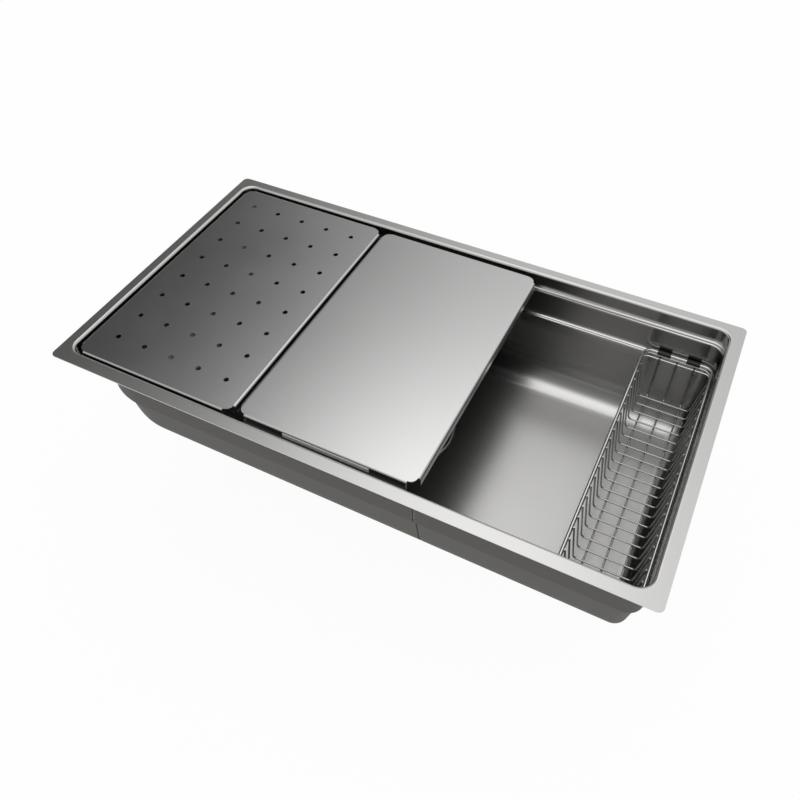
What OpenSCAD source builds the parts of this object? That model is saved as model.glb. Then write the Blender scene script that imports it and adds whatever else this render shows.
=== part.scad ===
// Workstation kitchen sink: a pressed steel bowl with two stepped ledges, two
// folded plates, a wire basket and a large drain. Millimetres, Z up; the
// origin is the middle of the rim plane, X runs left to right, Y to the rear.

/* [Flange and opening] */
// width of the flange, left to right
flange_w = 850; // [780:5:960]
// depth of the flange, front to rear
flange_d = 476.5; // [440:0.5:540]
// radius of the flange's outer corners
flange_r = 8; // [2:0.5:20]
// thickness of the pressed sheet
sheet_t = 1.2; // [0.8:0.1:2]
// flange edge to bowl wall at the left end
rim_left = 16.5; // [12:0.1:30]
// flange edge to bowl wall at the right end
rim_right = 19.2; // [12:0.1:30]
// flange edge to bowl wall at the front
rim_front = 20.3; // [14:0.1:40]
// flange edge to bowl wall at the rear
rim_rear = 16.6; // [14:0.1:40]
// radius of the rolled lip between flange and wall
lip_r = 3.8; // [2:0.1:6]
// corner radius of the opening
opening_r = 18; // [12:1:24]

/* [Ledges] */
// depth of the upper ledge below the rim
upper_z = 26; // [20:0.5:34]
// width of the upper ledge, front and rear
upper_w = 7.5; // [6:0.5:12]
// depth of the lower ledge below the rim
lower_z = 71.5; // [60:0.5:84]
// width of the lower ledge, front and rear
lower_w = 6; // [4.5:0.5:10]
// width of the lower ledge at the right end
lower_w_right = 3; // [2.9:0.1:12]
// width of the lower ledge at the left end
lower_w_left = 4; // [2:0.5:10]
// corner radius under the upper ledge, right end
mid_r_right = 19.5; // [17:0.5:19.5]
// corner radius under the upper ledge, left end
mid_r_left = 98; // [60:1:110]

/* [Bowl] */
// depth of the bowl floor below the rim
bowl_z = 178.5; // [165:0.5:220]
// slope of the front and rear walls, degrees
draft_front = 10.8; // [0:0.2:14]
// slope of the left end wall, degrees
draft_left = 3.5; // [0:0.5:8]
// slope of the right end wall, degrees
draft_right = 5.6; // [0:0.2:7]
// bottom radius along front and rear
floor_r_front = 51; // [25:1:60]
// bottom radius along the left end
floor_r_left = 53; // [25:1:60]
// bottom radius along the right end
floor_r_right = 23; // [10:1:40]

/* [Drain] */
// radius of the pressed dish round the drain
dish_r = 83; // [81.5:0.5:90]
// depth of the dish
dish_z = 4; // [3:0.5:8]
// radius of the hole in the dish
drain_hole_r = 70; // [69:0.5:72]
// radius of the drain flange
drain_r = 79.5; // [76:0.5:80]
// outer radius of the drain flange's threaded skirt
skirt_r = 68.5; // [66:0.25:69]
// length of the threaded skirt
skirt_h = 26; // [20:1:34]
// depth of the drain pot below its gasket
pot_h = 86; // [74:1:120]
// radius of the pot's threaded outlet
outlet_r = 23.9; // [20:0.1:28]
// length of the outlet thread
outlet_h = 28; // [22:1:40]
// radius of the tail pipe
pipe_r = 20; // [14:0.5:20.5]
// length of the tail pipe below the outlet nut
pipe_h = 45; // [30:5:120]

/* [Damping sheets] */
// thickness of the damping sheets
pad_t = 1.8; // [1:0.1:4]
// place of the butt joint between the sheets
seam_x = 121; // [60:1:200]
// width of the butt joint
seam_gap = 2.4; // [1:0.1:5]

/* [Plates] */
// depth of the plates' top face below the rim
plate_z = 3; // [1:0.5:6]
// thickness of the plates' sheet
plate_t = 1.5; // [1:0.1:2]
// outer radius of the folds
fold_r = 3.5; // [2.5:0.25:5]
// height of the folded edges
fold_h = 14; // [12:0.5:16]
// radius of the plates' corners
plate_r = 10; // [8:1:18]
// left wall of the bowl to the perforated plate
perf_gap_left = 4; // [3.5:0.5:12]
// width of the perforated plate
perf_w = 261.1; // [220:0.1:270]
// front wall of the bowl to the perforated plate
perf_gap_front = 4.5; // [3.5:0.1:6]
// rear wall of the bowl to the perforated plate
perf_gap_rear = 4.6; // [3.5:0.1:6]
// gap between the two plates
plate_gap = 4; // [1:0.5:12]
// width of the plain plate
plain_w = 261.4; // [220:0.2:270]
// front wall of the bowl to the plain plate
plain_gap_front = 9.5; // [8.5:0.1:10.5]
// rear wall of the bowl to the plain plate
plain_gap_rear = 6.6; // [5:0.1:7.5]
// plain length of a fold beyond the end of its runner
runner_end = 2; // [0:0.5:40]
// diameter of the drain holes in the perforated plate
hole_d = 7.5; // [4:0.5:12]
// drain holes from left to right
hole_cols = 5; // [3:1:6]
// drain holes from front to rear
hole_rows = 8; // [4:1:9]
// distance between holes, left to right
hole_dx = 46.1; // [20:0.5:48]
// distance between holes, front to rear
hole_dy = 49; // [20:0.5:50]
// length of the pale grip strip on the plain plate
grip_l = 124; // [80:1:180]
// height of the grip strip
grip_h = 6.6; // [4:0.2:7]

/* [Basket] */
// right wall of the bowl to the basket's rim wire
basket_gap = 1.2; // [0.5:0.1:10]
// half width of the rim wire, to its middle
rim_hx = 50.8; // [40:0.2:52]
// end walls of the bowl's middle step to a hanger sleeve
sleeve_clear = 0.4; // [0.3:0.1:1.5]
// corner radius of the rim wire
rim_r = 12.5; // [12:0.5:16]
// diameter of the rim wire
rim_d = 4.4; // [3:0.2:5]
// depth of the rim wire below the sink's rim
rim_z = 67; // [66.6:0.1:67.4]
// rim wire to inner loop at the basket's ends
loop_in = 10.3; // [8:0.1:14]
// diameter of the inner loop's wire
loop_d = 2.6; // [2:0.2:2.6]
// diameter of the thin wires
wire_d = 2.6; // [1.6:0.2:3]
// number of cross wires
cross_n = 21; // [11:2:25]
// inner loop's end to the first cross wire
cross_in = 25.4; // [25:0.2:60]
// depth of the cross wires' bottom below the sink's rim
basket_z = 131; // [110:0.5:134]
// lean of the basket's long sides, degrees
side_lean = 7.5; // [2:0.5:9]
// lean of the basket's ends, degrees
end_lean = 12; // [8:0.5:13]
// distance between the long wires
long_dx = 25.3; // [18:0.1:28]
// length of a hanger sleeve
sleeve_l = 19.5; // [12:0.5:26]
// distance from the basket's middle to a sleeve's middle
sleeve_dx = 21.4; // [16:0.2:26]

/* [Strainer] */
// radius of the strainer's rim
strainer_r = 65.6; // [63:0.1:65.7]
// height of the strainer cup
strainer_h = 46; // [30:1:52]
// thickness of the strainer's sheet
strainer_t = 1; // [0.6:0.1:1.4]
// slots round the strainer's wall
slot_n = 20; // [12:2:28]

/* [Hidden] */
slide_gap = 0.3;         // between pieces that move on each other
seat_gap = 0.03;         // between wires that are spot welded
glue_gap = 0.1;          // bonding layer behind the damping sheets
eps = 0.5;               // overlap of cuts that open into each other
open_hx = (flange_w - rim_left - rim_right) / 2;
open_hy = (flange_d - rim_front - rim_rear) / 2;
bowl_dx = (rim_left - rim_right) / 2;
bowl_dy = (rim_front - rim_rear) / 2;
mid_hy = open_hy - upper_w;
low_hy = mid_hy - lower_w;
low_x0 = -open_hx + lower_w_left;
low_x1 = open_hx - lower_w_right;
low_r_left = mid_r_left - lower_w_left;
low_r_right = mid_r_right - 2;
low_h = bowl_z - lower_z;
dish_floor = -bowl_z - dish_z;
dish_slope = 2.5;
seal_t = 0.8;
drain_t = 1.5;
gasket_t = 2.2;
flange_z = dish_floor + seal_t;
skirt_t = 2.5;
shoulder_z = flange_z - 13;
gasket_z = dish_floor - sheet_t;
pot_z = gasket_z - gasket_t;
pot_wall = 4;
pot_bottom = pot_z - pot_h;
outlet_z = pot_bottom - outlet_h;
washer_t = 2;
collar_t = 2;
strip_z = -plate_z - fold_h;
perf_x0 = bowl_dx - open_hx + perf_gap_left;
perf_x1 = perf_x0 + perf_w;
perf_y0 = bowl_dy - open_hy + perf_gap_front;
perf_y1 = bowl_dy + open_hy - perf_gap_rear;
plain_x0 = perf_x1 + plate_gap;
plain_x1 = plain_x0 + plain_w;
plain_y0 = bowl_dy - open_hy + plain_gap_front;
plain_y1 = bowl_dy + open_hy - plain_gap_rear;
sleeve_r = lower_z - rim_z - slide_gap;
basket_x = bowl_dx + open_hx - basket_gap - rim_d / 2 - rim_hx;
rim_hy = mid_hy - sleeve_clear - sleeve_r;
loop_hy = rim_hy - loop_in;
cross_dy = 2 * (loop_hy - cross_in) / (cross_n - 1);
bend_low = 6;
bend_swell = 0.02;       // a bend stands proud of the straight wire by this
bend_lap = 0.2;          // the straight wire runs on into its bends by this
wire_r = wire_d / 2;
loop_z = -rim_z - (rim_d + loop_d) / 2 - seat_gap;
leg_rise = 1.2;          // a cross wire ends this far above the rim's middle
leg_x = rim_hx - (rim_d / 2 + wire_r + seat_gap) / cos(side_lean);
leg_top_x = leg_x + leg_rise * tan(side_lean);
leg_at_loop = leg_x + (rim_z + loop_z) * tan(side_lean);
loop_hx = leg_at_loop + (wire_r + loop_d / 2 + seat_gap) / cos(side_lean);
long_z = -basket_z - wire_d - seat_gap;
rod_r = 3;
knob_z = flange_z - 4;

// ---- shared shapes ----------------------------------------------------

// rectangle from (x0, y0) to (x1, y1), with one corner radius at the left end
// and another at the right end
module end_rounded(x0, y0, x1, y1, r_left, r_right) {
    for (side = [0, 1]) {
        translate([x0 + r_left, side == 0 ? y0 + r_left : y1 - r_left])
            circle(r_left, $fn = 96);
        translate([x1 - r_right, side == 0 ? y0 + r_right : y1 - r_right])
            circle(r_right, $fn = 96);
    }
    translate([x0 + r_left, y0])
        square([x1 - x0 - r_left - r_right, y1 - y0]);
    translate([x0, y0 + r_left])
        square([r_left, y1 - y0 - 2 * r_left]);
    translate([x1 - r_right, y0 + r_right])
        square([r_right, y1 - y0 - 2 * r_right]);
}

// flat block of that outline between two heights
module end_rounded_block(x0, y0, x1, y1, r_left, r_right, z0, z1) {
    translate([0, 0, z0])
        linear_extrude(z1 - z0)
            end_rounded(x0, y0, x1, y1, r_left, r_right);
}

// ring between two radii and two heights
module ring(r_in, r_out, z0, z1) {
    translate([0, 0, z0])
        difference() {
            cylinder(h = z1 - z0, r = r_out, $fn = 96);
            translate([0, 0, -eps])
                cylinder(h = z1 - z0 + 2 * eps, r = r_in, $fn = 96);
        }
}

// ---- the bowl ---------------------------------------------------------

// how far a sloping wall with a bottom radius has come inwards at depth d
// below the lower ledge, for a space of height h
function wall_inset(d, h, slope, r) =
    let (tangent = h - r * (1 - sin(slope)))
    d <= tangent
        ? d * tan(slope)
        : tangent * tan(slope) + r * cos(slope)
            - sqrt(max(0, r * r - pow(r - (h - d), 2)));

// depths at which the drawn part of the bowl is given its outline
function section_depths(h, r_big, r_small) = concat(
    [for (a = [11, 24, 37, 50, 62, 74, 90]) h - r_big * (1 - sin(a))],
    [for (a = [4, 30, 55]) h - r_small * (1 - sin(a))]
);

// one outline of the drawn part, as four pointed discs for the hull
module drawn_section(d, grow, peak) {
    h = low_h + grow;
    front = wall_inset(d, h, draft_front, floor_r_front + grow);
    left = wall_inset(d, h, draft_left, floor_r_left + grow);
    right = wall_inset(d, h, draft_right, floor_r_right + grow);
    x0 = low_x0 - grow + left;
    x1 = low_x1 + grow - right;
    y1 = low_hy + grow - front;
    r0 = max(low_r_left + grow - 0.3 * (front + left), 20);
    r1 = max(low_r_right + grow - 0.3 * right, 12);
    for (side = [-1, 1]) {
        translate([x0 + r0, side * (y1 - r0), -lower_z - d])
            mirror([0, 0, peak < 0 ? 1 : 0])
                cylinder(h = abs(peak), r1 = r0, r2 = 0, $fn = 48);
        translate([x1 - r1, side * (y1 - r1), -lower_z - d])
            mirror([0, 0, peak < 0 ? 1 : 0])
                cylinder(h = abs(peak), r1 = r1, r2 = 0, $fn = 48);
    }
}

// the deep-drawn part below the lower ledge, grown by the thickness asked for
module drawn_body(grow) {
    hull() {
        drawn_section(-eps, grow, -1);
        for (d = section_depths(low_h + grow, floor_r_front + grow, floor_r_right + grow))
            drawn_section(d, grow, 1);
    }
}

// the step between the two ledges, grown by the thickness asked for
module step_body(grow, z0, z1) {
    end_rounded_block(-open_hx - grow, -mid_hy - grow, open_hx + grow, mid_hy + grow,
        mid_r_left + grow, mid_r_right + grow, z0, z1);
}

// rolled lip of the opening, one quarter bend of the sheet
module lip_profile() {
    intersection() {
        difference() {
            circle(lip_r, $fn = 96);
            circle(lip_r - sheet_t, $fn = 96);
        }
        square([lip_r, lip_r]);
    }
}

module lip_side(length) {
    rotate([90, 0, 90])
        linear_extrude(length)
            lip_profile();
}

// the lip round the whole opening: four straight bends and four corners
module rolled_lip() {
    run_x = 2 * (open_hx - opening_r);
    run_y = 2 * (open_hy - opening_r);
    for (turn = [0, 180])
        rotate([0, 0, turn]) {
            translate([-run_x / 2, -open_hy - lip_r, -lip_r])
                lip_side(run_x);
            rotate([0, 0, 90])
                translate([-run_y / 2, -open_hx - lip_r, -lip_r])
                    lip_side(run_y);
        }
    for (cx = [-1, 1], cy = [-1, 1])
        translate([cx * run_x / 2, cy * run_y / 2, -lip_r])
            rotate([0, 0, cx > 0 ? (cy > 0 ? 0 : -90) : (cy > 0 ? 90 : 180)])
                rotate_extrude(angle = 90, $fn = 96)
                    translate([opening_r + lip_r, 0])
                        mirror([1, 0])
                            lip_profile();
}

module sink_bowl() {
    color([0.72, 0.72, 0.71]) {
        difference() {
            end_rounded_block(-flange_w / 2, -flange_d / 2, flange_w / 2, flange_d / 2,
                flange_r, flange_r, -sheet_t, 0);
            translate([bowl_dx, bowl_dy, 0])
                end_rounded_block(-open_hx - lip_r, -open_hy - lip_r,
                    open_hx + lip_r, open_hy + lip_r,
                    opening_r + lip_r, opening_r + lip_r, -sheet_t - eps, eps);
        }
        translate([bowl_dx, bowl_dy, 0])
            rolled_lip();
        difference() {
            union() {
                translate([bowl_dx, bowl_dy, 0]) {
                    end_rounded_block(-open_hx - sheet_t, -open_hy - sheet_t,
                        open_hx + sheet_t, open_hy + sheet_t,
                        opening_r + sheet_t, opening_r + sheet_t,
                        -upper_z - sheet_t, -lip_r);
                    step_body(sheet_t, -lower_z - sheet_t, -upper_z);
                    drawn_body(sheet_t);
                }
                translate([0, 0, gasket_z])
                    cylinder(h = dish_z + sheet_t, r1 = dish_r + sheet_t - dish_slope,
                        r2 = dish_r + sheet_t, $fn = 96);
            }
            translate([bowl_dx, bowl_dy, 0]) {
                end_rounded_block(-open_hx, -open_hy, open_hx, open_hy,
                    opening_r, opening_r, -upper_z, 0);
                step_body(0, -lower_z, -upper_z + eps);
                drawn_body(0);
            }
            translate([0, 0, dish_floor])
                cylinder(h = dish_z + eps, r1 = dish_r - dish_slope,
                    r2 = dish_r + dish_slope * eps / dish_z, $fn = 96);
            translate([0, 0, gasket_z - eps])
                cylinder(h = dish_z, r = drain_hole_r, $fn = 96);
        }
    }
}

// ---- damping sheets ---------------------------------------------------

// the sheet bonded round the outside of the bowl, before it is parted
module damping_skin() {
    inner = sheet_t + glue_gap;
    difference() {
        translate([bowl_dx, bowl_dy, 0]) {
            step_body(inner + pad_t, -lower_z - inner - pad_t, -upper_z - inner);
            drawn_body(inner + pad_t);
        }
        translate([bowl_dx, bowl_dy, 0]) {
            step_body(inner, -lower_z - inner, -upper_z);
            drawn_body(inner);
        }
        translate([0, 0, -bowl_z - 4 * pad_t])
            cylinder(h = 8 * pad_t, r = dish_r + 3, $fn = 96);
    }
}

module damping_sheet_left() {
    color([0.30, 0.30, 0.29])
        intersection() {
            damping_skin();
            translate([-flange_w, -flange_d, -2 * bowl_z])
                cube([flange_w + seam_x - seam_gap / 2, 2 * flange_d, 2 * bowl_z]);
        }
}

module damping_sheet_right() {
    color([0.30, 0.30, 0.29])
        intersection() {
            damping_skin();
            translate([seam_x + seam_gap / 2, -flange_d, -2 * bowl_z])
                cube([flange_w, 2 * flange_d, 2 * bowl_z]);
        }
}

// ---- drain ------------------------------------------------------------

module drain_seal() {
    color([0.12, 0.12, 0.12])
        ring(drain_hole_r + 1, drain_r - 1.5, dish_floor, flange_z);
}

// flange, threaded skirt and the shoulder that the strainer hangs on, turned
// from one profile
module drain_flange() {
    in_r = skirt_r - skirt_t;
    color([0.74, 0.74, 0.73])
        rotate_extrude($fn = 96)
            difference() {
                union() {
                    translate([in_r, flange_z])
                        square([drain_r - drain_t / 2 - in_r, drain_t]);
                    translate([drain_r - drain_t / 2, flange_z + drain_t / 2])
                        circle(drain_t / 2, $fn = 32);
                    translate([in_r, flange_z - skirt_h])
                        square([skirt_t, skirt_h + drain_t / 2]);
                    translate([in_r - 5, shoulder_z - 2])
                        square([5 + skirt_t / 2, 2]);
                }
                translate([in_r, flange_z + drain_t])
                    circle(drain_t / 2, $fn = 32);
            }
}

module drain_gasket() {
    color([0.12, 0.12, 0.12])
        ring(drain_hole_r, dish_r - dish_slope - 1, pot_z, gasket_z);
}

// pot with its clamping flange and the threaded outlet, turned from one profile
module drain_pot() {
    bore = skirt_r + glue_gap;
    color([0.20, 0.20, 0.21])
        rotate_extrude($fn = 96)
            difference() {
                union() {
                    translate([0, pot_bottom])
                        square([bore + pot_wall, pot_h]);
                    translate([0, pot_z - 5])
                        square([dish_r, 5]);
                    translate([0, outlet_z])
                        square([outlet_r - 1, outlet_h + pot_wall]);
                    for (k = [0 : 6])
                        translate([0, outlet_z + 2.5 + 3 * k])
                            square([outlet_r, 1.5]);
                }
                translate([-eps, pot_bottom + pot_wall])
                    square([bore + eps, pot_h]);
                translate([-eps, outlet_z - eps])
                    square([outlet_r - pot_wall + eps, outlet_h + 2 * pot_wall]);
            }
}

module outlet_washer() {
    color([0.12, 0.12, 0.12])
        ring(outlet_r - pot_wall, outlet_r - 1, outlet_z - washer_t, outlet_z);
}

// pipe with a collar, and a slimmer neck where the slip nut turns round it
module tail_pipe() {
    collar_z = outlet_z - washer_t - collar_t;
    neck_h = 5;
    color([0.85, 0.85, 0.83]) {
        ring(pipe_r - 2, outlet_r - 1, collar_z, collar_z + collar_t);
        ring(pipe_r - 2, pipe_r - 0.4, collar_z - neck_h - eps, collar_z + eps);
        ring(pipe_r - 2, pipe_r, collar_z - neck_h - pipe_h, collar_z - neck_h);
    }
}

// slip nut with grip ribs, holding the pipe's collar against the washer
module outlet_nut() {
    collar_z = outlet_z - washer_t - collar_t;
    nut_r = outlet_r + 5;
    nut_h = outlet_h - 6;
    color([0.20, 0.20, 0.21])
        difference() {
            union() {
                translate([0, 0, collar_z - 3])
                    cylinder(h = nut_h, r = nut_r, $fn = 96);
                for (k = [0 : 11])
                    rotate([0, 0, 30 * k])
                        translate([nut_r - 0.5, 0, collar_z - 3])
                            cylinder(h = nut_h, r = 2, $fn = 24);
            }
            translate([0, 0, collar_z])
                cylinder(h = nut_h, r = outlet_r + glue_gap, $fn = 96);
            translate([0, 0, collar_z - 4])
                cylinder(h = nut_h, r = pipe_r + glue_gap, $fn = 96);
        }
}

// ---- plates -----------------------------------------------------------

// section of a folded edge: quarter bend, then the edge straight down
module fold_profile() {
    intersection() {
        difference() {
            circle(fold_r, $fn = 96);
            circle(fold_r - plate_t, $fn = 96);
        }
        square([fold_r, fold_r]);
    }
    translate([fold_r - plate_t, fold_r - fold_h])
        square([plate_t, fold_h - fold_r]);
}

// folded edge along X with its outer face at y = 0, facing front
module folded_edge(length) {
    translate([-length / 2, fold_r, -fold_r])
        rotate([90, 0, 90])
            mirror([1, 0])
                linear_extrude(length)
                    fold_profile();
}

// a flat sheet with round corners whose four sides are folded down between
// the corners; x0..y1 are the outer faces of the folds
module folded_plate(x0, x1, y0, y1) {
    run_x = x1 - x0 - 2 * (fold_r + plate_r);
    run_y = y1 - y0 - 2 * (fold_r + plate_r);
    translate([0, 0, -plate_z]) {
        end_rounded_block(x0 + fold_r, y0 + fold_r, x1 - fold_r, y1 - fold_r,
            plate_r, plate_r, -plate_t, 0);
        translate([(x0 + x1) / 2, y0, 0])
            folded_edge(run_x);
        translate([(x0 + x1) / 2, y1, 0])
            rotate([0, 0, 180])
                folded_edge(run_x);
        translate([x1, (y0 + y1) / 2, 0])
            rotate([0, 0, 90])
                folded_edge(run_y);
        translate([x0, (y0 + y1) / 2, 0])
            rotate([0, 0, -90])
                folded_edge(run_y);
    }
}

// resin runner clipped over the lower edge of a fold; the fold's outer face
// lies at y = 0 and the runner reaches out and in from there
module runner(length, out, in) {
    clip = 4;
    translate([-length / 2, 0, 0])
        difference() {
            translate([0, -out, -upper_z + slide_gap])
                cube([length, out + in, upper_z - slide_gap + strip_z + clip]);
            translate([-eps, -seat_gap, strip_z])
                cube([length + 2 * eps, plate_t + 2 * seat_gap, clip + eps]);
        }
}

module perforated_plate() {
    mid_x = (perf_x0 + perf_x1) / 2;
    mid_y = (perf_y0 + perf_y1) / 2 + 3.5;
    color([0.62, 0.62, 0.61])
        difference() {
            folded_plate(perf_x0, perf_x1, perf_y0, perf_y1);
            for (i = [0 : hole_cols - 1], j = [0 : hole_rows - 1])
                translate([mid_x + (i - (hole_cols - 1) / 2) * hole_dx,
                        mid_y + (j - (hole_rows - 1) / 2) * hole_dy,
                        -plate_z - plate_t - eps])
                    cylinder(h = plate_t + 2 * eps, r = hole_d / 2, $fn = 32);
        }
}

module perforated_runner_front() {
    color([0.13, 0.13, 0.13])
        translate([(perf_x0 + perf_x1) / 2, perf_y0, 0])
            runner(perf_w - 2 * (fold_r + plate_r + runner_end), 2.5, 5);
}

module perforated_runner_rear() {
    color([0.13, 0.13, 0.13])
        translate([(perf_x0 + perf_x1) / 2, perf_y1, 0])
            rotate([0, 0, 180])
                runner(perf_w - 2 * (fold_r + plate_r + runner_end), 2.5, 5);
}

module plain_plate() {
    color([0.80, 0.80, 0.79])
        folded_plate(plain_x0, plain_x1, plain_y0, plain_y1);
}

module plain_runner_front() {
    color([0.13, 0.13, 0.13])
        translate([(plain_x0 + plain_x1) / 2, plain_y0, 0])
            runner(plain_w - 2 * (fold_r + plate_r + runner_end), 7.5, 4);
}

module plain_runner_rear() {
    color([0.13, 0.13, 0.13])
        translate([(plain_x0 + plain_x1) / 2, plain_y1, 0])
            rotate([0, 0, 180])
                runner(plain_w - 2 * (fold_r + plate_r + runner_end), 4, 5);
}

// pale strip on the front fold, where fingers pull the plate along
module plate_grip_strip() {
    strip_t = 1;
    color([0.78, 0.77, 0.70])
        translate([(plain_x0 + plain_x1) / 2 + 4.5 - grip_l / 2, plain_y0 - strip_t,
                -plate_z - fold_r - grip_h + 1])
            cube([grip_l, strip_t, grip_h]);
}

// ---- basket -----------------------------------------------------------

// closed loop of wire with round corners, lying flat round the origin
module wire_loop(hx, hy, r, d) {
    for (s = [-1, 1]) {
        translate([-hx + r - bend_lap, s * hy, 0])
            rotate([0, 90, 0])
                cylinder(h = 2 * (hx - r + bend_lap), r = d / 2, $fn = 32);
        translate([s * hx, -hy + r - bend_lap, 0])
            rotate([-90, 0, 0])
                cylinder(h = 2 * (hy - r + bend_lap), r = d / 2, $fn = 32);
    }
    for (k = [0 : 3])
        translate([(k == 0 || k == 3 ? 1 : -1) * (hx - r), (k < 2 ? 1 : -1) * (hy - r), 0])
            rotate([0, 0, 90 * k])
                rotate_extrude(angle = 90, $fn = 64)
                    translate([r, 0])
                        circle(d / 2 + bend_swell, $fn = 32);
}

// bend of thin wire in the XZ plane, turning by an angle round the origin
module wire_bend(r, angle) {
    rotate([90, 0, 0])
        rotate_extrude(angle = angle, $fn = 64)
            translate([r, 0])
                circle(wire_r + bend_swell, $fn = 24);
}

// leg of a thin wire from (x, z) down to the bottom wire: straight, leaning
// inwards, then one bend; ends at foot_x on the bottom line
module wire_leg(x, z, lean, bottom) {
    drop = z - bottom - bend_low * (1 - sin(lean));
    translate([x, 0, z])
        rotate([0, 180 + lean, 0])
            translate([0, 0, -bend_lap])
                cylinder(h = drop / cos(lean) + 2 * bend_lap, r = wire_r, $fn = 24);
    translate([foot_x(x, z, lean, bottom), 0, bottom + bend_low])
        rotate([0, 90, 0])
            wire_bend(bend_low, 90 - lean);
}

function foot_x(x, z, lean, bottom) =
    x - (z - bottom - bend_low * (1 - sin(lean))) * tan(lean) - bend_low * cos(lean);

// one cross wire: both ends stand up against the inner loop and the rim wire
module cross_wire() {
    foot = foot_x(leg_top_x, -rim_z + leg_rise, side_lean, -basket_z);
    for (s = [0, 1])
        mirror([s, 0, 0])
            wire_leg(leg_top_x, -rim_z + leg_rise, side_lean, -basket_z);
    translate([-foot - bend_lap, 0, -basket_z])
        rotate([0, 90, 0])
            cylinder(h = 2 * (foot + bend_lap), r = wire_r, $fn = 24);
}

// one long wire, drawn along X: upright ends inside the inner loop
module long_wire() {
    top_z = loop_z + 2;
    at_loop = loop_hy - (wire_r + loop_d / 2 + seat_gap) / cos(end_lean);
    top_x = at_loop + 2 * tan(end_lean);
    foot = foot_x(top_x, top_z, end_lean, long_z);
    for (s = [0, 1])
        mirror([s, 0, 0])
            wire_leg(top_x, top_z, end_lean, long_z);
    translate([-foot - bend_lap, 0, long_z])
        rotate([0, 90, 0])
            cylinder(h = 2 * (foot + bend_lap), r = wire_r, $fn = 24);
}

module basket_rim() {
    color([0.80, 0.80, 0.79])
        translate([basket_x, bowl_dy, -rim_z])
            wire_loop(rim_hx, rim_hy, rim_r, rim_d);
}

module basket_inner_loop() {
    color([0.80, 0.80, 0.79])
        translate([basket_x, bowl_dy, loop_z])
            wire_loop(loop_hx, loop_hy, rim_r - 4, loop_d);
}

module basket_cross_wires() {
    color([0.80, 0.80, 0.79])
        for (k = [0 : cross_n - 1])
            translate([basket_x, bowl_dy + (k - (cross_n - 1) / 2) * cross_dy, 0])
                cross_wire();
}

module basket_long_wires() {
    color([0.80, 0.80, 0.79])
        for (k = [-1 : 1])
            translate([basket_x + k * long_dx, bowl_dy, 0])
                rotate([0, 0, 90])
                    long_wire();
}

// resin sleeves on the rim wire, riding on the lower ledge
module basket_sleeves() {
    color([0.08, 0.08, 0.08])
        for (side = [-1, 1], end = [-1, 1])
            translate([basket_x + side * sleeve_dx - sleeve_l / 2, bowl_dy + end * rim_hy, -rim_z])
                rotate([0, 90, 0])
                    difference() {
                        cylinder(h = sleeve_l, r = sleeve_r, $fn = 48);
                        translate([0, 0, -eps])
                            cylinder(h = sleeve_l + 2 * eps, r = rim_d / 2 + seat_gap, $fn = 48);
                    }
}

// ---- strainer ---------------------------------------------------------

// perforated cup with a flat rim, hanging on the drain flange's shoulder
module strainer_cup() {
    rim_bottom = shoulder_z + slide_gap;
    wall_r = skirt_r - skirt_t - 6;
    floor_z = rim_bottom + strainer_t - strainer_h;
    color([0.76, 0.76, 0.75])
        difference() {
            union() {
                ring(wall_r - strainer_t, strainer_r, rim_bottom, rim_bottom + strainer_t);
                ring(wall_r - strainer_t, wall_r, floor_z, rim_bottom + strainer_t / 2);
                translate([0, 0, floor_z])
                    cylinder(h = strainer_t, r = wall_r - strainer_t / 2, $fn = 96);
            }
            for (k = [0 : slot_n / 2 - 1])
                rotate([0, 0, 360 * k / slot_n])
                    translate([-wall_r - eps, -1.5, floor_z + 8])
                        cube([2 * wall_r + 2 * eps, 3, strainer_h - 20]);
            for (row = [1 : 3], k = [0 : 8 * row - 1])
                rotate([0, 0, 360 * k / (8 * row)])
                    translate([16 * row, 0, floor_z - eps])
                        cylinder(h = strainer_t + 2 * eps, r = 2.5, $fn = 24);
            translate([0, 0, floor_z - eps])
                cylinder(h = strainer_t + 2 * eps, r = rod_r + seat_gap, $fn = 32);
        }
}

// lifting post with a round knob, its collar standing on the cup's floor
module strainer_post() {
    floor_z = shoulder_z + slide_gap + strainer_t - strainer_h;
    color([0.76, 0.76, 0.75]) {
        translate([0, 0, floor_z - 6])
            cylinder(h = knob_z - floor_z, r = rod_r, $fn = 32);
        translate([0, 0, floor_z + strainer_t])
            cylinder(h = 3, r = 2 * rod_r, $fn = 32);
        translate([0, 0, knob_z - 7])
            cylinder(h = 3, r1 = rod_r, r2 = 10, $fn = 48);
        translate([0, 0, knob_z - 4])
            cylinder(h = 4, r = 10, $fn = 48);
    }
}

module strainer_nut() {
    floor_z = shoulder_z + slide_gap + strainer_t - strainer_h;
    color([0.70, 0.70, 0.69])
        translate([0, 0, floor_z - 4])
            difference() {
                cylinder(h = 4, r = 5.5, $fn = 6);
                translate([0, 0, -eps])
                    cylinder(h = 4 + 2 * eps, r = rod_r + seat_gap, $fn = 32);
            }
}

sink_bowl();
damping_sheet_left();
damping_sheet_right();
drain_seal();
drain_flange();
drain_gasket();
drain_pot();
outlet_washer();
tail_pipe();
outlet_nut();
perforated_plate();
perforated_runner_front();
perforated_runner_rear();
plain_plate();
plain_runner_front();
plain_runner_rear();
plate_grip_strip();
basket_rim();
basket_inner_loop();
basket_cross_wires();
basket_long_wires();
basket_sleeves();
strainer_cup();
strainer_post();
strainer_nut();
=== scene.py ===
import math

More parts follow.
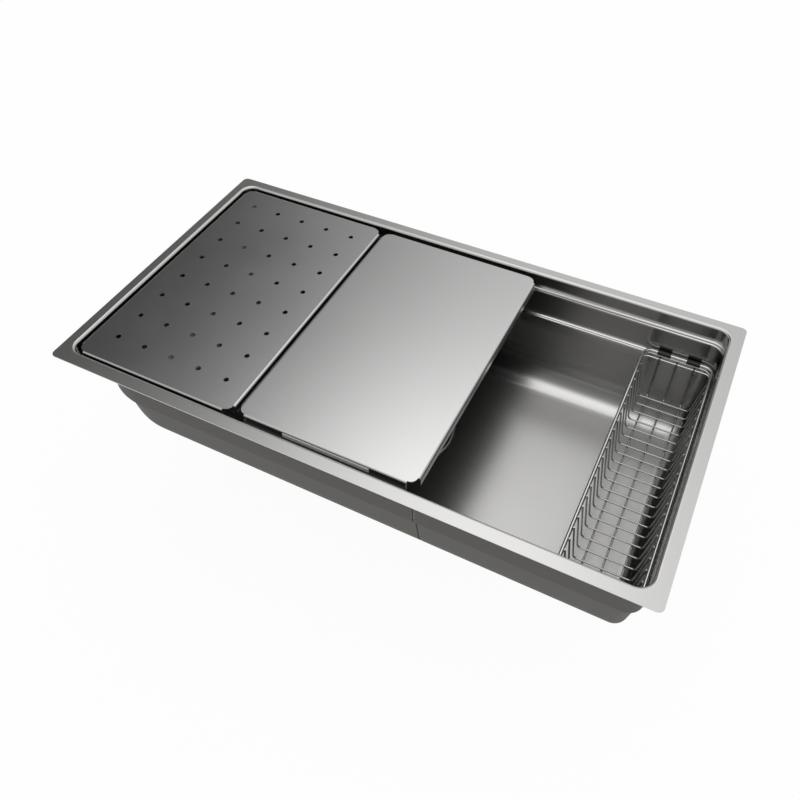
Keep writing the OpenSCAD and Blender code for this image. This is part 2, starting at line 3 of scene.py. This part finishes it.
import bmesh
import bpy
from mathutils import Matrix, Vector


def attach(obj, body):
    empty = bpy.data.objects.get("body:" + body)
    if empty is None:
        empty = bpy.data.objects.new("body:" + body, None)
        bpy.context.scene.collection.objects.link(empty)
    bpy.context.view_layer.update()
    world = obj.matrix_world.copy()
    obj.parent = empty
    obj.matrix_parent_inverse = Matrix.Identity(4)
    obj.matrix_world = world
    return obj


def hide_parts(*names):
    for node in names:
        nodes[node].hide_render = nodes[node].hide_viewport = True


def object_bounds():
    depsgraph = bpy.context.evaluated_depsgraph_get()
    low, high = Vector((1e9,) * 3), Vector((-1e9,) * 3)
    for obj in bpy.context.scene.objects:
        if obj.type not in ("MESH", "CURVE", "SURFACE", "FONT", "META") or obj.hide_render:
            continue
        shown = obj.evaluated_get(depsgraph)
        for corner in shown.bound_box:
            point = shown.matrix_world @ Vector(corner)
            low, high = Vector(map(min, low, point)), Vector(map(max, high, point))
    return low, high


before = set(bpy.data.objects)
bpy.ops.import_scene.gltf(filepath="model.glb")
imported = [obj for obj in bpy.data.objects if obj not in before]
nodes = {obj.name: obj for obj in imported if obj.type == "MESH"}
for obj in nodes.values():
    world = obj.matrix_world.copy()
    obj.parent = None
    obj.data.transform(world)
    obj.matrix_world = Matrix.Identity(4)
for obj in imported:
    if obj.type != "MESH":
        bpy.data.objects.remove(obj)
cad_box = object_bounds()


# The camera stands in front and to the right of the sink, about 45 degrees
# above it, and is rolled by half a degree.

camera_data = bpy.data.cameras.new("studio_camera")
camera_data.lens = 35.80
camera_data.sensor_width = 36
camera_data.shift_x = -0.0006
camera_data.shift_y = -0.0400
camera = bpy.data.objects.new("studio_camera", camera_data)
camera.location = (0.35283, -0.69742, 0.78891)
camera.rotation_euler = (0.747955, 0.005881, 0.466525)
bpy.context.scene.collection.objects.link(camera)
bpy.context.scene.camera = camera
bpy.context.scene.view_settings.view_transform = "Standard"


# The studio: a soft room with a bright patch of ceiling to the rear, a glow
# overhead and a dark screen to the left, so that flat steel shades from dark to
# bright. The floor is a pale plane that keeps a soft shadow.

def link(tree, a, out, b, into):
    tree.links.new(a.outputs[out], b.inputs[into])


world = bpy.data.worlds.new("studio")
bpy.context.scene.world = world
world.use_nodes = True
sky = world.node_tree
sky.nodes.clear()
sky_out = sky.nodes.new("ShaderNodeOutputWorld")
sky_light = sky.nodes.new("ShaderNodeBackground")
sky_way = sky.nodes.new("ShaderNodeTexCoord")


def fill_ramp(ramp, stops, span):
    """Sets (place, level) stops: the first two are the ramp's ends, the rest go between."""
    steps = ramp.color_ramp.elements
    for k, (place, level) in enumerate(stops):
        step = steps[k] if k < 2 else steps.new(place / span)
        step.position = place / span
        step.color = (level, level, level, 1)


def sky_patch(azimuth, height, levels):
    """Brightness by the angle in degrees from one direction, as (angle, level) pairs."""
    dot = sky.nodes.new("ShaderNodeVectorMath")
    dot.operation = "DOT_PRODUCT"
    az, el = math.radians(azimuth), math.radians(height)
    toward = (math.sin(az) * math.cos(el), math.cos(az) * math.cos(el), math.sin(el))
    dot.inputs[1].default_value = toward
    turn = sky.nodes.new("ShaderNodeMath")
    turn.operation = "ARCCOSINE"
    spread = sky.nodes.new("ShaderNodeMapRange")
    spread.inputs["From Max"].default_value = math.pi
    ramp = sky.nodes.new("ShaderNodeValToRGB")
    fill_ramp(ramp, levels, 180)
    link(sky, sky_way, "Generated", dot, 0)
    link(sky, dot, "Value", turn, 0)
    link(sky, turn, "Value", spread, "Value")
    link(sky, spread, "Result", ramp, "Fac")
    return ramp


def sky_join(a, b, way):
    """Two skies blended into one, by multiplying or adding."""
    join = sky.nodes.new("ShaderNodeMix")
    join.data_type = "RGBA"
    join.blend_type = way
    join.inputs[0].default_value = 1
    sky.links.new(a, join.inputs[6])
    sky.links.new(b, join.inputs[7])
    return join.outputs[2]


room = sky_patch(180, 40, ((0, 0.60), (180, 0.45), (30, 0.65),
                           (60, 0.75), (90, 0.80), (115, 0.62)))
screen = sky_patch(-58, 36, ((0, 0.02), (180, 1.0), (14, 0.05), (19, 0.22),
                             (25, 0.48), (31, 0.74), (38, 0.96), (46, 1.0)))
ceiling = sky_patch(-26, 61, ((0, 1.00), (180, 0.0), (8, 0.88), (14, 0.36), (20, 0.07), (26, 0.0)))
overhead = sky_patch(180, 80, ((0, 0.75), (180, 0.0), (12, 0.70), (22, 0.25), (32, 0.0)))
sky_level = sky_join(room.outputs["Color"], screen.outputs["Color"], "MULTIPLY")
for glow in (ceiling, overhead):
    sky_level = sky_join(sky_level, glow.outputs["Color"], "ADD")
sky.links.new(sky_level, sky_light.inputs["Color"])
sky_light.inputs["Strength"].default_value = 1.0
link(sky, sky_light, "Background", sky_out, "Surface")

FLOOR_SIZE, FLOOR_GAP = 14, 0.0005
bpy.ops.object.select_all(action="DESELECT")
bpy.ops.mesh.primitive_plane_add(size=FLOOR_SIZE, location=(0, 0, cad_box[0][2] - FLOOR_GAP))
floor = bpy.context.object
floor.name = "studio_floor"
floor_skin = bpy.data.materials.new("pale_floor")
floor_skin.use_nodes = True
tree = floor_skin.node_tree
tree.nodes.clear()
floor_out = tree.nodes.new("ShaderNodeOutputMaterial")
floor_paint = tree.nodes.new("ShaderNodeBsdfDiffuse")
floor_glow = tree.nodes.new("ShaderNodeEmission")
floor_pick = tree.nodes.new("ShaderNodeMixShader")
floor_ray = tree.nodes.new("ShaderNodeLightPath")
floor_share = tree.nodes.new("ShaderNodeMath")
floor_share.operation = "MULTIPLY"
floor_share.inputs[1].default_value = 0.93
floor_any = [tree.nodes.new("ShaderNodeMath") for k in range(2)]
for step in floor_any:
    step.operation = "MAXIMUM"
floor_paint.inputs["Color"].default_value = (0.80, 0.80, 0.80, 1)
floor_glow.inputs["Strength"].default_value = 1.02
link(tree, floor_ray, "Is Camera Ray", floor_any[0], 0)
link(tree, floor_ray, "Is Glossy Ray", floor_any[0], 1)
link(tree, floor_any[0], "Value", floor_any[1], 0)
link(tree, floor_ray, "Is Transmission Ray", floor_any[1], 1)
link(tree, floor_any[1], "Value", floor_share, 0)
link(tree, floor_share, "Value", floor_pick, "Fac")
tree.links.new(floor_paint.outputs[0], floor_pick.inputs[1])
tree.links.new(floor_glow.outputs[0], floor_pick.inputs[2])
tree.links.new(floor_pick.outputs[0], floor_out.inputs["Surface"])
floor.data.materials.append(floor_skin)


# Bowl: one sheet of satin stainless steel, 1.2 mm thick, drawn deep in a
# press. The flange rolls over a lip into the wall, and two ledges are stepped
# into it on the way down to the floor and the round dish of the drain.

SHEET = 0.0012
FLANGE_X, FLANGE_Y, FLANGE_R = 0.425, 0.23825, 0.008
BOWL_X, BOWL_Y = -0.00135, 0.00185
OPEN_X, OPEN_Y, OPEN_R = 0.40715, 0.2198, 0.018
LIP_R = 0.0038
UPPER_Z, MID_Y, MID_LEFT, MID_RIGHT = -0.0260, 0.2123, 0.098, 0.0195
LOWER_Z, LOW_Y, LOW_X0, LOW_X1 = -0.0715, 0.2063, -0.40315, 0.40415
LOW_LEFT, LOW_RIGHT = 0.094, 0.0175
DRAFT_FRONT, DRAFT_LEFT, DRAFT_RIGHT = 10.8, 3.5, 5.6
BOTTOM_FRONT, BOTTOM_LEFT, BOTTOM_RIGHT, BOTTOM_STEP = 0.051, 0.053, 0.023, 0.002
CORNER_SHRINK, LEAST_LEFT, LEAST_RIGHT = 0.3, 0.020, 0.012
FLOOR_Z, DISH_Z = -0.1785, -0.1825
CORNER_STEPS, LONG_STEPS, SHORT_STEPS = 24, 16, 8


def outline(x0, x1, y, r_left, r_right, z, middle=(BOWL_X, BOWL_Y)):
    """One closed ring of the pressing, from the middle of the left end round by the front."""
    ring = []
    half = SHORT_STEPS // 2

    def corner(cx, cy, r, start):
        for k in range(CORNER_STEPS + 1):
            a = math.radians(start + 90 * k / CORNER_STEPS)
            ring.append(Vector((cx + r * math.cos(a), cy + r * math.sin(a), z)))

    def side(a, b, n, first=1):
        for k in range(first, n):
            ring.append(Vector((a[0] + (b[0] - a[0]) * k / n, a[1] + (b[1] - a[1]) * k / n, z)))

    side((x0, 0), (x0, -y + r_left), half, 0)
    corner(x0 + r_left, -y + r_left, r_left, 180)
    side((x0 + r_left, -y), (x1 - r_right, -y), LONG_STEPS)
    corner(x1 - r_right, -y + r_right, r_right, 270)
    side((x1, -y + r_right), (x1, y - r_right), SHORT_STEPS)
    corner(x1 - r_right, y - r_right, r_right, 0)
    side((x1 - r_right, y), (x0 + r_left, y), LONG_STEPS)
    corner(x0 + r_left, y - r_left, r_left, 90)
    side((x0, y - r_left), (x0, 0), half)
    return [Vector((p.x + middle[0], p.y + middle[1], p.z)) for p in ring]


def circle_ring(radius, z, count):
    turns = [math.radians(180 + 360 * k / count) for k in range(count)]
    return [Vector((radius * math.cos(a), radius * math.sin(a), z)) for a in turns]


def ledge_rings(outer, inner, z, r_in, r_out):
    """Rings down a wall, across a ledge and over its edge, for two outlines of the same count."""
    steps = 5
    parts = [k / steps for k in range(steps + 1)]
    bends = [("in", t) for t in parts] + [("out", t) for t in parts]
    rings = []
    for n, (bend, t) in enumerate(bends):
        ring = []
        for a, b in zip(outer, inner):
            across = Vector((b.x - a.x, b.y - a.y, 0))
            width = across.length
            fit = min(1, width / (r_in + r_out))
            turn = math.radians(90 * t)
            if bend == "in":
                along = r_in * fit * (1 - math.cos(turn))
                depth = z + r_in * fit * (1 - math.sin(turn))
            else:
                along = width - r_out * fit * (1 - math.sin(turn))
                depth = z - r_out * fit * (1 - math.cos(turn))
            plain = z + r_in - (r_in + r_out) * n / (len(bends) - 1)
            place = a + across * (along / width) if width > 1e-6 else a.copy()
            ring.append(Vector((place.x, place.y, depth * fit + plain * (1 - fit))))
        rings.append(ring)
    return rings


def wall_inset(d, h, slope, r):
    """How far a sloping wall with a bottom radius has come inwards at depth d."""
    slope = math.radians(slope)
    tangent = h - r * (1 - math.sin(slope))
    if d <= tangent:
        return d * math.tan(slope)
    start = tangent * math.tan(slope) + r * math.cos(slope)
    return start - math.sqrt(max(0, r * r - (r - (h - d)) ** 2))


def drawn_rings(grow):
    """Rings of the deep part below the lower ledge, grown outwards by a thickness."""
    h = LOWER_Z - FLOOR_Z + grow
    big, small = BOTTOM_FRONT + grow, BOTTOM_RIGHT + grow
    widest = big + BOTTOM_STEP
    depths = [0.006, 0.018, 0.034, 0.048]
    depths += [h - widest * (1 - math.sin(math.radians(a))) for a in range(6, 91, 6)]
    depths += [h - small * (1 - math.sin(math.radians(a))) for a in (8, 16)]
    rings = []
    for d in sorted(depths):
        front = wall_inset(d, h, DRAFT_FRONT, big)
        left = wall_inset(d, h, DRAFT_LEFT, BOTTOM_LEFT + grow)
        right = wall_inset(d, h, DRAFT_RIGHT, small)
        r_left = max(LOW_LEFT + grow - CORNER_SHRINK * (front + left), LEAST_LEFT)
        r_right = max(LOW_RIGHT + grow - CORNER_SHRINK * right, LEAST_RIGHT)
        rings.append(outline(LOW_X0 - grow + left, LOW_X1 + grow - right,
                             LOW_Y + grow - front, r_left, r_right, LOWER_Z - d))
    return rings


def raise_rings(name, rings):
    """A ring of vertices is extruded level by level, each level set to its outline."""
    bpy.ops.object.select_all(action="DESELECT")
    bpy.ops.mesh.primitive_circle_add(vertices=len(rings[0]), radius=0.3)
    piece = bpy.context.object
    piece.name = name
    bpy.ops.object.mode_set(mode="EDIT")
    bpy.ops.mesh.select_all(action="SELECT")
    mesh = bmesh.from_edit_mesh(piece.data)
    mesh.verts.ensure_lookup_table()
    order = sorted(mesh.verts, key=lambda v: v.index)
    for vert, place in zip(order, rings[0]):
        vert.co = place
    for level in range(1, len(rings)):
        bpy.ops.mesh.extrude_edges_move()
        mesh = bmesh.from_edit_mesh(piece.data)
        before = {tuple(round(c, 7) for c in p): k for k, p in enumerate(rings[level - 1])}
        for vert in mesh.verts:
            if vert.select:
                vert.co = rings[level][before[tuple(round(c, 7) for c in vert.co)]]
    bmesh.update_edit_mesh(piece.data)
    bpy.ops.object.mode_set(mode="OBJECT")
    return piece


def finish_sheet(piece, thickness, offset, edge):
    """Gives a surface its thickness, softens its cut edges and smooths the bends."""
    bpy.ops.object.select_all(action="DESELECT")
    piece.select_set(True)
    bpy.context.view_layer.objects.active = piece
    solid = piece.modifiers.new("thickness", "SOLIDIFY")
    solid.thickness = thickness
    solid.offset = offset
    solid.use_even_offset = True
    bpy.ops.object.modifier_apply(modifier="thickness")
    soft = piece.modifiers.new("edge", "BEVEL")
    soft.width = edge
    soft.segments = 2
    soft.limit_method = "ANGLE"
    soft.angle_limit = math.radians(60)
    bpy.ops.object.modifier_apply(modifier="edge")
    bpy.ops.object.shade_smooth_by_angle(angle=math.radians(40))
    weigh = piece.modifiers.new("flats", "WEIGHTED_NORMAL")
    weigh.keep_sharp = True
    weigh.weight = 60
    bpy.ops.object.modifier_apply(modifier="flats")


def lip_ring(angle):
    """One ring of the lip that rolls from the flange into the wall."""
    turn = math.radians(angle)
    grow = LIP_R * (1 - math.sin(turn))
    return outline(-OPEN_X - grow, OPEN_X + grow, OPEN_Y + grow, OPEN_R + grow, OPEN_R + grow,
                   -LIP_R * (1 - math.cos(turn)))


opening = outline(-OPEN_X, OPEN_X, OPEN_Y, OPEN_R, OPEN_R, 0)
middle = outline(-OPEN_X, OPEN_X, MID_Y, MID_LEFT, MID_RIGHT, 0)
lower = outline(LOW_X0, LOW_X1, LOW_Y, LOW_LEFT, LOW_RIGHT, 0)


def at_height(ring, z):
    return [Vector((p.x, p.y, z)) for p in ring]


bowl_levels = [outline(-FLANGE_X, FLANGE_X, FLANGE_Y, FLANGE_R, FLANGE_R, 0, (0, 0)),
               outline(-0.4242, 0.4242, 0.23745, 0.0075, 0.0075, 0, (0, 0)),
               outline(-OPEN_X - 0.0043, OPEN_X + 0.0043, OPEN_Y + 0.0043, 0.0223, 0.0223, 0)]
bowl_levels += [lip_ring(a) for a in range(0, 91, 15)]
bowl_levels += [at_height(opening, -0.0045), at_height(opening, -0.022)]
bowl_levels += ledge_rings(opening, middle, UPPER_Z, 0.0032, 0.0022)
bowl_levels += [at_height(middle, -0.0285), at_height(middle, -0.0672)]
bowl_levels += ledge_rings(middle, lower, LOWER_Z, 0.0034, 0.0020)
bowl_levels += drawn_rings(0)
dish_profile = ((0.0850, FLOOR_Z), (0.0842, FLOOR_Z),
                (0.0834, FLOOR_Z - 0.0003), (0.0828, FLOOR_Z - 0.0010),
                (0.0812, DISH_Z + 0.0010), (0.0806, DISH_Z + 0.0003),
                (0.0798, DISH_Z), (0.0700, DISH_Z))
bowl_levels += [circle_ring(radius, z, len(opening)) for radius, z in dish_profile]
bowl = raise_rings("pressed_bowl", bowl_levels)
finish_sheet(bowl, SHEET, -1, 0.00025)


def satin_steel(name, shade, rough, grain, grain_way, depth):
    """Stainless steel with a fine brushed or rolled grain along one axis."""
    skin = bpy.data.materials.new(name)
    skin.use_nodes = True
    tree = skin.node_tree
    steel = tree.nodes["Principled BSDF"]
    steel.inputs["Metallic"].default_value = 1.0
    coord = tree.nodes.new("ShaderNodeTexCoord")
    stretch = tree.nodes.new("ShaderNodeMapping")
    stretch.inputs["Scale"].default_value = grain_way
    lines = tree.nodes.new("ShaderNodeTexNoise")
    lines.inputs["Scale"].default_value = grain
    lines.inputs["Detail"].default_value = 4
    cloud = tree.nodes.new("ShaderNodeTexNoise")
    cloud.inputs["Scale"].default_value = 9
    cloud.inputs["Detail"].default_value = 3
    rough_map = tree.nodes.new("ShaderNodeMapRange")
    rough_map.inputs["To Min"].default_value = rough - 0.03
    rough_map.inputs["To Max"].default_value = rough + 0.04
    blend = tree.nodes.new("ShaderNodeMix")
    blend.data_type = "FLOAT"
    blend.inputs[0].default_value = 0.35
    tone = tree.nodes.new("ShaderNodeMix")
    tone.data_type = "RGBA"
    tone.inputs[6].default_value = tuple(c * 0.965 for c in shade) + (1,)
    tone.inputs[7].default_value = tuple(min(1, c * 1.02) for c in shade) + (1,)
    bump = tree.nodes.new("ShaderNodeBump")
    bump.inputs["Strength"].default_value = depth
    bump.inputs["Distance"].default_value = 0.0002
    link(tree, coord, "Object", stretch, "Vector")
    link(tree, stretch, "Vector", lines, "Vector")
    link(tree, coord, "Object", cloud, "Vector")
    tree.links.new(cloud.outputs[0], blend.inputs[2])
    tree.links.new(lines.outputs[0], blend.inputs[3])
    tree.links.new(blend.outputs[0], rough_map.inputs["Value"])
    tree.links.new(rough_map.outputs["Result"], steel.inputs["Roughness"])
    tree.links.new(lines.outputs[0], tone.inputs[0])
    tree.links.new(tone.outputs[2], steel.inputs["Base Color"])
    tree.links.new(lines.outputs[0], bump.inputs["Height"])
    tree.links.new(bump.outputs["Normal"], steel.inputs["Normal"])
    return skin


def ramp_by_depth(skin, socket, stops):
    """Scales one input of a steel by depth: (millimetres, share of the plain value). On the base
    colour this paints light and shade.
    """
    deepest = 200
    tree = skin.node_tree
    steel = tree.nodes["Principled BSDF"]
    before = steel.inputs[socket].links[0].from_socket
    coord = tree.nodes.new("ShaderNodeTexCoord")
    split = tree.nodes.new("ShaderNodeSeparateXYZ")
    depth = tree.nodes.new("ShaderNodeMapRange")
    depth.inputs["From Min"].default_value = 0
    depth.inputs["From Max"].default_value = -deepest / 1000
    ramp = tree.nodes.new("ShaderNodeValToRGB")
    fill_ramp(ramp, stops, deepest)
    mixed = tree.nodes.new("ShaderNodeMix")
    mixed.data_type = "RGBA"
    mixed.blend_type = "MULTIPLY"
    mixed.inputs[0].default_value = 1
    link(tree, coord, "Object", split, "Vector")
    link(tree, split, "Z", depth, "Value")
    link(tree, depth, "Result", ramp, "Fac")
    tree.links.new(before, mixed.inputs[6])
    tree.links.new(ramp.outputs["Color"], mixed.inputs[7])
    tree.links.new(mixed.outputs[2], steel.inputs[socket])


# The base colour by depth is painted light: painted shade on the walls, darkest
# just above the floor's fillet, and on the floor; painted highlights on the two
# ledges, the fillet at the floor and the rim of the dish. It is fitted to one view
# of the sink and isn't a finish that is known of the real steel.
bowl_steel = satin_steel("satin_bowl_steel", (0.785, 0.779, 0.762), 0.44, 2600, (0.2, 1, 1), 0.02)
ramp_by_depth(bowl_steel, "Base Color", (
    (0, 0.82), (200, 0.72), (1.5, 0.82), (4.5, 0.42), (21, 0.38), (23.5, 0.98), (27, 0.98),
    (30, 0.38), (66, 0.38), (69, 0.98), (73, 0.98), (76, 0.64), (148, 0.60), (155, 0.46),
    (161, 0.27), (168.5, 0.29), (170.5, 0.40), (173.2, 0.74), (176, 0.79), (177.3, 0.78),
    (178.3, 0.61), (179.5, 0.61), (181.5, 1.0)))
ramp_by_depth(bowl_steel, "Roughness", (
    (0, 0.62), (200, 0.82), (2, 0.62), (5, 0.48), (74, 0.48), (95, 0.70),
    (160, 0.55), (176.8, 0.52), (178.2, 0.68)))
bowl.data.materials.append(bowl_steel)
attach(bowl, "sink")
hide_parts("sink_bowl")


# Damping sheets: 1.8 mm of grey filled resin bonded round the outside of the
# bowl to deaden it, in two pieces that butt together to the right of the drain.

SEAM_X, SEAM_HALF = 0.121, 0.0012
GLUE, PAD = 0.0001, 0.0018


def damping_sheet(name, node, keep_left):
    """One half of the covering, cut at the butt joint."""
    grow = SHEET + GLUE + PAD
    wall = outline(-OPEN_X - grow, OPEN_X + grow, MID_Y + grow,
                   MID_LEFT + grow, MID_RIGHT + grow, 0)
    foot = outline(LOW_X0 - grow, LOW_X1 + grow, LOW_Y + grow,
                   LOW_LEFT + grow, LOW_RIGHT + grow, 0)
    levels = [at_height(wall, UPPER_Z - SHEET - 0.0003), at_height(wall, -0.0705)]
    levels += ledge_rings(wall, foot, LOWER_Z - grow, 0.0015, 0.0010)
    levels += [r for r in drawn_rings(grow) if r[0].z < LOWER_Z - 0.006]
    levels += [circle_ring(0.0865, FLOOR_Z - grow, len(wall))]
    piece = raise_rings(name, levels)
    bpy.ops.object.mode_set(mode="EDIT")
    bpy.ops.mesh.select_all(action="SELECT")
    cut = SEAM_X - SEAM_HALF if keep_left else SEAM_X + SEAM_HALF
    bpy.ops.mesh.bisect(plane_co=(cut, 0, 0), plane_no=(1, 0, 0),
                        clear_outer=keep_left, clear_inner=not keep_left)
    bpy.ops.object.mode_set(mode="OBJECT")
    finish_sheet(piece, PAD, 1, 0.0004)
    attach(piece, "sink")
    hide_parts(node)
    return piece


def moulded(name, colour, rough, speckle, depth):
    """Resin, rubber or coating with a fine moulded texture and slight colour drift."""
    skin = bpy.data.materials.new(name)
    skin.use_nodes = True
    tree = skin.node_tree
    body = tree.nodes["Principled BSDF"]
    coord = tree.nodes.new("ShaderNodeTexCoord")
    fine = tree.nodes.new("ShaderNodeTexNoise")
    fine.inputs["Scale"].default_value = 900
    fine.inputs["Detail"].default_value = 4
    drift = tree.nodes.new("ShaderNodeTexNoise")
    drift.inputs["Scale"].default_value = 14
    drift.inputs["Detail"].default_value = 3
    tone = tree.nodes.new("ShaderNodeMix")
    tone.data_type = "RGBA"
    tone.inputs[6].default_value = tuple(c * (1 - speckle) for c in colour) + (1,)
    tone.inputs[7].default_value = tuple(c * (1 + speckle) for c in colour) + (1,)
    rough_map = tree.nodes.new("ShaderNodeMapRange")
    rough_map.inputs["To Min"].default_value = rough - 0.06
    rough_map.inputs["To Max"].default_value = rough + 0.06
    mix = tree.nodes.new("ShaderNodeMix")
    mix.data_type = "FLOAT"
    mix.inputs[0].default_value = 0.4
    bump = tree.nodes.new("ShaderNodeBump")
    bump.inputs["Strength"].default_value = depth
    bump.inputs["Distance"].default_value = 0.0003
    link(tree, coord, "Object", fine, "Vector")
    link(tree, coord, "Object", drift, "Vector")
    tree.links.new(drift.outputs[0], mix.inputs[2])
    tree.links.new(fine.outputs[0], mix.inputs[3])
    tree.links.new(mix.outputs[0], tone.inputs[0])
    tree.links.new(mix.outputs[0], rough_map.inputs["Value"])
    tree.links.new(tone.outputs[2], body.inputs["Base Color"])
    tree.links.new(rough_map.outputs["Result"], body.inputs["Roughness"])
    tree.links.new(fine.outputs[0], bump.inputs["Height"])
    tree.links.new(bump.outputs["Normal"], body.inputs["Normal"])
    return skin


damping = moulded("damping_resin", (0.096, 0.093, 0.084), 0.62, 0.10, 0.5)
for sheet in (damping_sheet("damping_left", "damping_sheet_left", True),
              damping_sheet("damping_right", "damping_sheet_right", False)):
    sheet.data.materials.append(damping)


# Drain: a turned steel flange on a soft seal in the dish, screwed down to a
# moulded pot below, with a washer, a slip nut and the waste pipe under it.

def dress(node, skin):
    """Gives every material slot of a CAD piece the same skin."""
    for place in nodes[node].material_slots:
        place.material = skin


drain_steel = satin_steel("turned_drain_steel", (0.70, 0.70, 0.695), 0.20, 500, (1, 1, 0.2), 0.03)
dress("drain_flange", drain_steel)
seal_rubber = moulded("seal_rubber", (0.020, 0.020, 0.020), 0.60, 0.10, 0.3)
for name in ("drain_seal", "drain_gasket", "outlet_washer"):
    dress(name, seal_rubber)
pot_resin = moulded("pot_resin", (0.035, 0.035, 0.037), 0.45, 0.12, 0.35)
dress("drain_pot", pot_resin)
dress("outlet_nut", pot_resin)
dress("tail_pipe", moulded("pipe_resin", (0.66, 0.66, 0.64), 0.40, 0.03, 0.2))


# Strainer: a pressed steel cup, slotted round its wall and pierced in its
# floor, with a turned post and knob to lift it by, held with a nut.

strainer_steel = satin_steel("strainer_steel", (0.70, 0.70, 0.695), 0.22, 600, (1, 1, 0.3), 0.03)
for name in ("strainer_cup", "strainer_post", "strainer_nut"):
    dress(name, strainer_steel)


# Plates: two folded sheets of satin steel that cover the left of the bowl, one
# pierced for draining, with dark resin runners clipped to their folds. Below
# their top faces they are painted darker, as painted shade, also to fit the one view.

plate_steel = satin_steel("satin_plate_steel", (0.68, 0.68, 0.675), 0.22, 2600, (1, 0.15, 1), 0.03)
# Painted shade: below their top faces the plates' folds, rims and undersides are darkened.
ramp_by_depth(plate_steel, "Base Color", ((0, 1.0), (200, 0.35), (3.2, 1.0), (4.4, 0.40)))
dress("perforated_plate", plate_steel)
dress("plain_plate", plate_steel)
runner_resin = moulded("runner_resin", (0.030, 0.030, 0.030), 0.50, 0.10, 0.3)
for name in ("perforated_runner_front", "perforated_runner_rear",
             "plain_runner_front", "plain_runner_rear"):
    dress(name, runner_resin)
dress("plate_grip_strip", moulded("grip_resin", (0.74, 0.73, 0.67), 0.50, 0.04, 0.3))


# Basket: bright stainless wire, bent and spot-welded, hanging from four black
# resin sleeves on its rim wire.

def polished_wire(name, shade, rough):
    return satin_steel(name, shade, rough, 300, (1, 1, 1), 0.02)


rim_steel = polished_wire("polished_rim_wire", (0.74, 0.74, 0.735), 0.18)
thin_steel = polished_wire("thin_wire", (0.50, 0.50, 0.49), 0.26)
for name in ("basket_rim", "basket_inner_loop"):
    dress(name, rim_steel)
for name in ("basket_cross_wires", "basket_long_wires"):
    dress(name, thin_steel)
dress("basket_sleeves", moulded("sleeve_resin", (0.012, 0.012, 0.012), 0.30, 0.10, 0.15))
